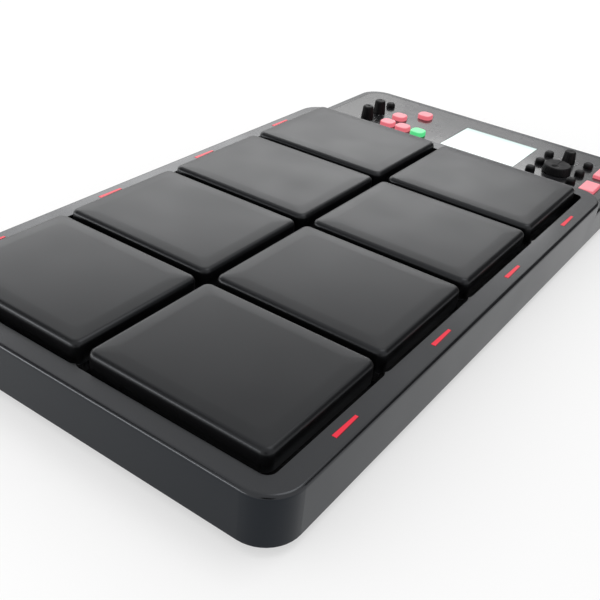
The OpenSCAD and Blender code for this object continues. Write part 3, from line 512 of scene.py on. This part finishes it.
# Display
# A backlit module behind an acrylic window with a diffusing film on its back, so the light fills the window.
# It is a cold white, which fades and turns a little toward cyan at the far edge.
LIT_HEX, FAR_HEX, FRAME_HEX = "effffa", "cfe5e0", "5d6464"
FAR_FADE = 14.0
LIT_INSETS = {"left": (0.3, 1.5), "right": (0.2, 1.0), "front": (0.2, 1.0), "back": (0.0, 3.0)}
window, tree, shader = new_material("backlit_opal_acrylic", FRAME_HEX, 0.06, IOR=1.49)
low, high = (Vector(corner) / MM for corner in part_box("lcd_window"))
where = add(tree, "ShaderNodeSeparateXYZ", {0: add(tree, "ShaderNodeTexCoord").outputs["Object"]})
lit = 1.0
for edge, axis, start, way in (
    ("left", "X", low.x, 1),
    ("right", "X", high.x, -1),
    ("front", "Y", low.y, 1),
    ("back", "Y", high.y, -1),
):
    ends = [(start + way * inset) * MM for inset in LIT_INSETS[edge]]
    inside = ramp(tree, where.outputs[axis], ends, curve="SMOOTHSTEP")
    lit = add(tree, "ShaderNodeMath", {0: lit, 1: inside}, operation="MULTIPLY").outputs[0]
far = ramp(tree, where.outputs["Y"], ((high.y - FAR_FADE) * MM, high.y * MM), curve="SMOOTHSTEP")
tree.links.new(blend(tree, far, LIT_HEX, FAR_HEX), shader.inputs["Emission Color"])
tree.links.new(lit, shader.inputs["Emission Strength"])
finish(window, "lcd_window")

module, tree, shader = new_material("moulded_white_polycarbonate", "d6dada", 0.4)
vary(tree, shader.inputs["Roughness"], noise(tree, 8, 3.0), 0.34, 0.46)
finish(module, "lcd_module")

# Circuit boards
# Glass-epoxy sheet under green lacquer, with copper tracks that show as a paler net.
board, tree, shader = new_material("lacquered_glass_epoxy", "0d4a2a", 0.35)
where = add(tree, "ShaderNodeTexCoord").outputs["Object"]
tracks = add(tree, "ShaderNodeTexBrick", {
    "Vector": where, "Color1": linear("0d4a2a"), "Color2": linear("104f2d"), "Mortar": linear("2f7a4c"),
    "Scale": 1 / (4 * MM), "Mortar Size": 0.04})
tree.links.new(tracks.outputs["Color"], shader.inputs["Base Color"])
finish(board, "main_board", "panel_board", "jack_board", "lamp_boards")

# Ribbon cable
# Grey PVC ribbon with one ridge for each wire. A wave texture repeats WAVE_PERIOD apart at a scale of 1.
WIRE_PITCH = 1.27
WAVE_PERIOD = math.tau / 20
ribbon, tree, shader = new_material("grey_pvc_ribbon", "8a8d90", 0.45)
where = add(tree, "ShaderNodeTexCoord").outputs["Object"]
wires = add(tree, "ShaderNodeTexWave", {
    "Vector": where, "Scale": WAVE_PERIOD / (WIRE_PITCH * MM)}, bands_direction="X")
relief(tree, shader, wires.outputs["Fac"], 0.3)
finish(ribbon, "ribbon_cable")

# Switches, potentiometers and sockets
# Small mouldings of glass-filled black nylon, soldered to the boards. The fibres leave a dull, flecked face.
nylon, tree, shader = new_material("glass_filled_black_nylon", "151516", 0.55)
vary(tree, shader.inputs["Roughness"], noise(tree, 1.2, 4.0), 0.45, 0.65)
relief(tree, shader, noise(tree, 0.5, 3.0), 0.03)
finish(nylon, "tact_switches", "potentiometers", "encoder", "phone_sockets", "power_inlet", "power_switch")

# Shafts
# Turned steel with a bright draw along the axis.
steel, tree, shader = new_material("turned_bright_steel", "bfc1c4", 0.25, Metallic=1.0)
vary(tree, shader.inputs["Roughness"], noise(tree, 0.6), 0.18, 0.32)
finish(steel, "volume_shaft_1", "volume_shaft_2", "level_shaft", "dial_shaft")

# Knobs, dial and black buttons
# Black ABS from a textured tool, pushed onto the shafts or guided in the panel. Dull, darker than the case.
black_abs, tree, shader = new_material("satin_black_abs", "08080a", 0.5, Specular_IOR_Level=0.2)
vary(tree, shader.inputs["Roughness"], noise(tree, 4, 3.0), 0.44, 0.56)
relief(tree, shader, noise(tree, 0.3), 0.004)
finish(black_abs, *knobs, "value_dial", "click_button", "power_button",
       *[f"{kind}_button_{i}" for kind in ("function", "menu") for i in (1, 2, 3)])

# Lit buttons
# Translucent silicone caps over lamps on the board below. Light fills the top, and the sides show the dye.
LIT_EDGE, LIT_TOP = 0.3, 0.95


def lit_cap(name, dye_hex, side_hex, top_hex, strength, nodes):
    """Silicone in one colour, which glows paler on its top than on its sides."""
    material, tree, shader = new_material(name, dye_hex, 0.4, Emission_Strength=strength)
    up = add(tree, "ShaderNodeSeparateXYZ", {0: add(tree, "ShaderNodeTexCoord").outputs["Normal"]})
    top = ramp(tree, up.outputs["Z"], (LIT_EDGE, LIT_TOP), curve="SMOOTHSTEP")
    tree.links.new(blend(tree, top, side_hex, top_hex), shader.inputs["Emission Color"])
    relief(tree, shader, noise(tree, 0.5), 0.003)
    finish(material, *nodes)


lit_cap("red_silicone_lit", "7a222b", "f07a86", "ffa6b0", 0.75,
        [f"loop_button_{i}" for i in (1, 2, 3, 4)] + ["mode_button_1", "mode_button_2"])
lit_cap("green_silicone_lit", "2a7a4a", "60e892", "8cffb6", 0.75, ["play_button"])
